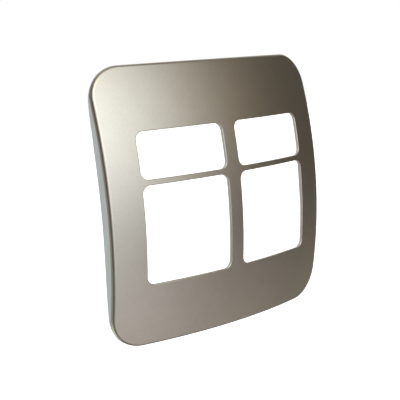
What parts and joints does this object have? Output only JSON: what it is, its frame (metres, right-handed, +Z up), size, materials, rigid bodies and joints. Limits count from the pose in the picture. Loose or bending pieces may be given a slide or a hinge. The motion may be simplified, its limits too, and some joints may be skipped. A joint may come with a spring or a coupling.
{
  "type": "grid switch cover plate",
  "caption": "Domed square metal cover plate with rounded corners on a moulded carrier; low windows over tall windows for modular switches.",
  "frame": {"origin": "centre of the plate, in the wall plane that its rear rim rests on", "axes": "+Y into the wall, so the face looks towards -Y; +Z up as mounted, with the low windows above; +X to the right seen from the front"},
  "size_m": [0.121, 0.019, 0.121],
  "materials": {
    "panel_metal": "satin anodised champagne, fine bead-blasted grain",
    "carrier_plastic": "moulded, light grey, matte"
  },
  "bodies": {
    "root": {"front_panel": "panel_metal", "carrier_frame": "carrier_plastic"}
  },
  "joints": []
}
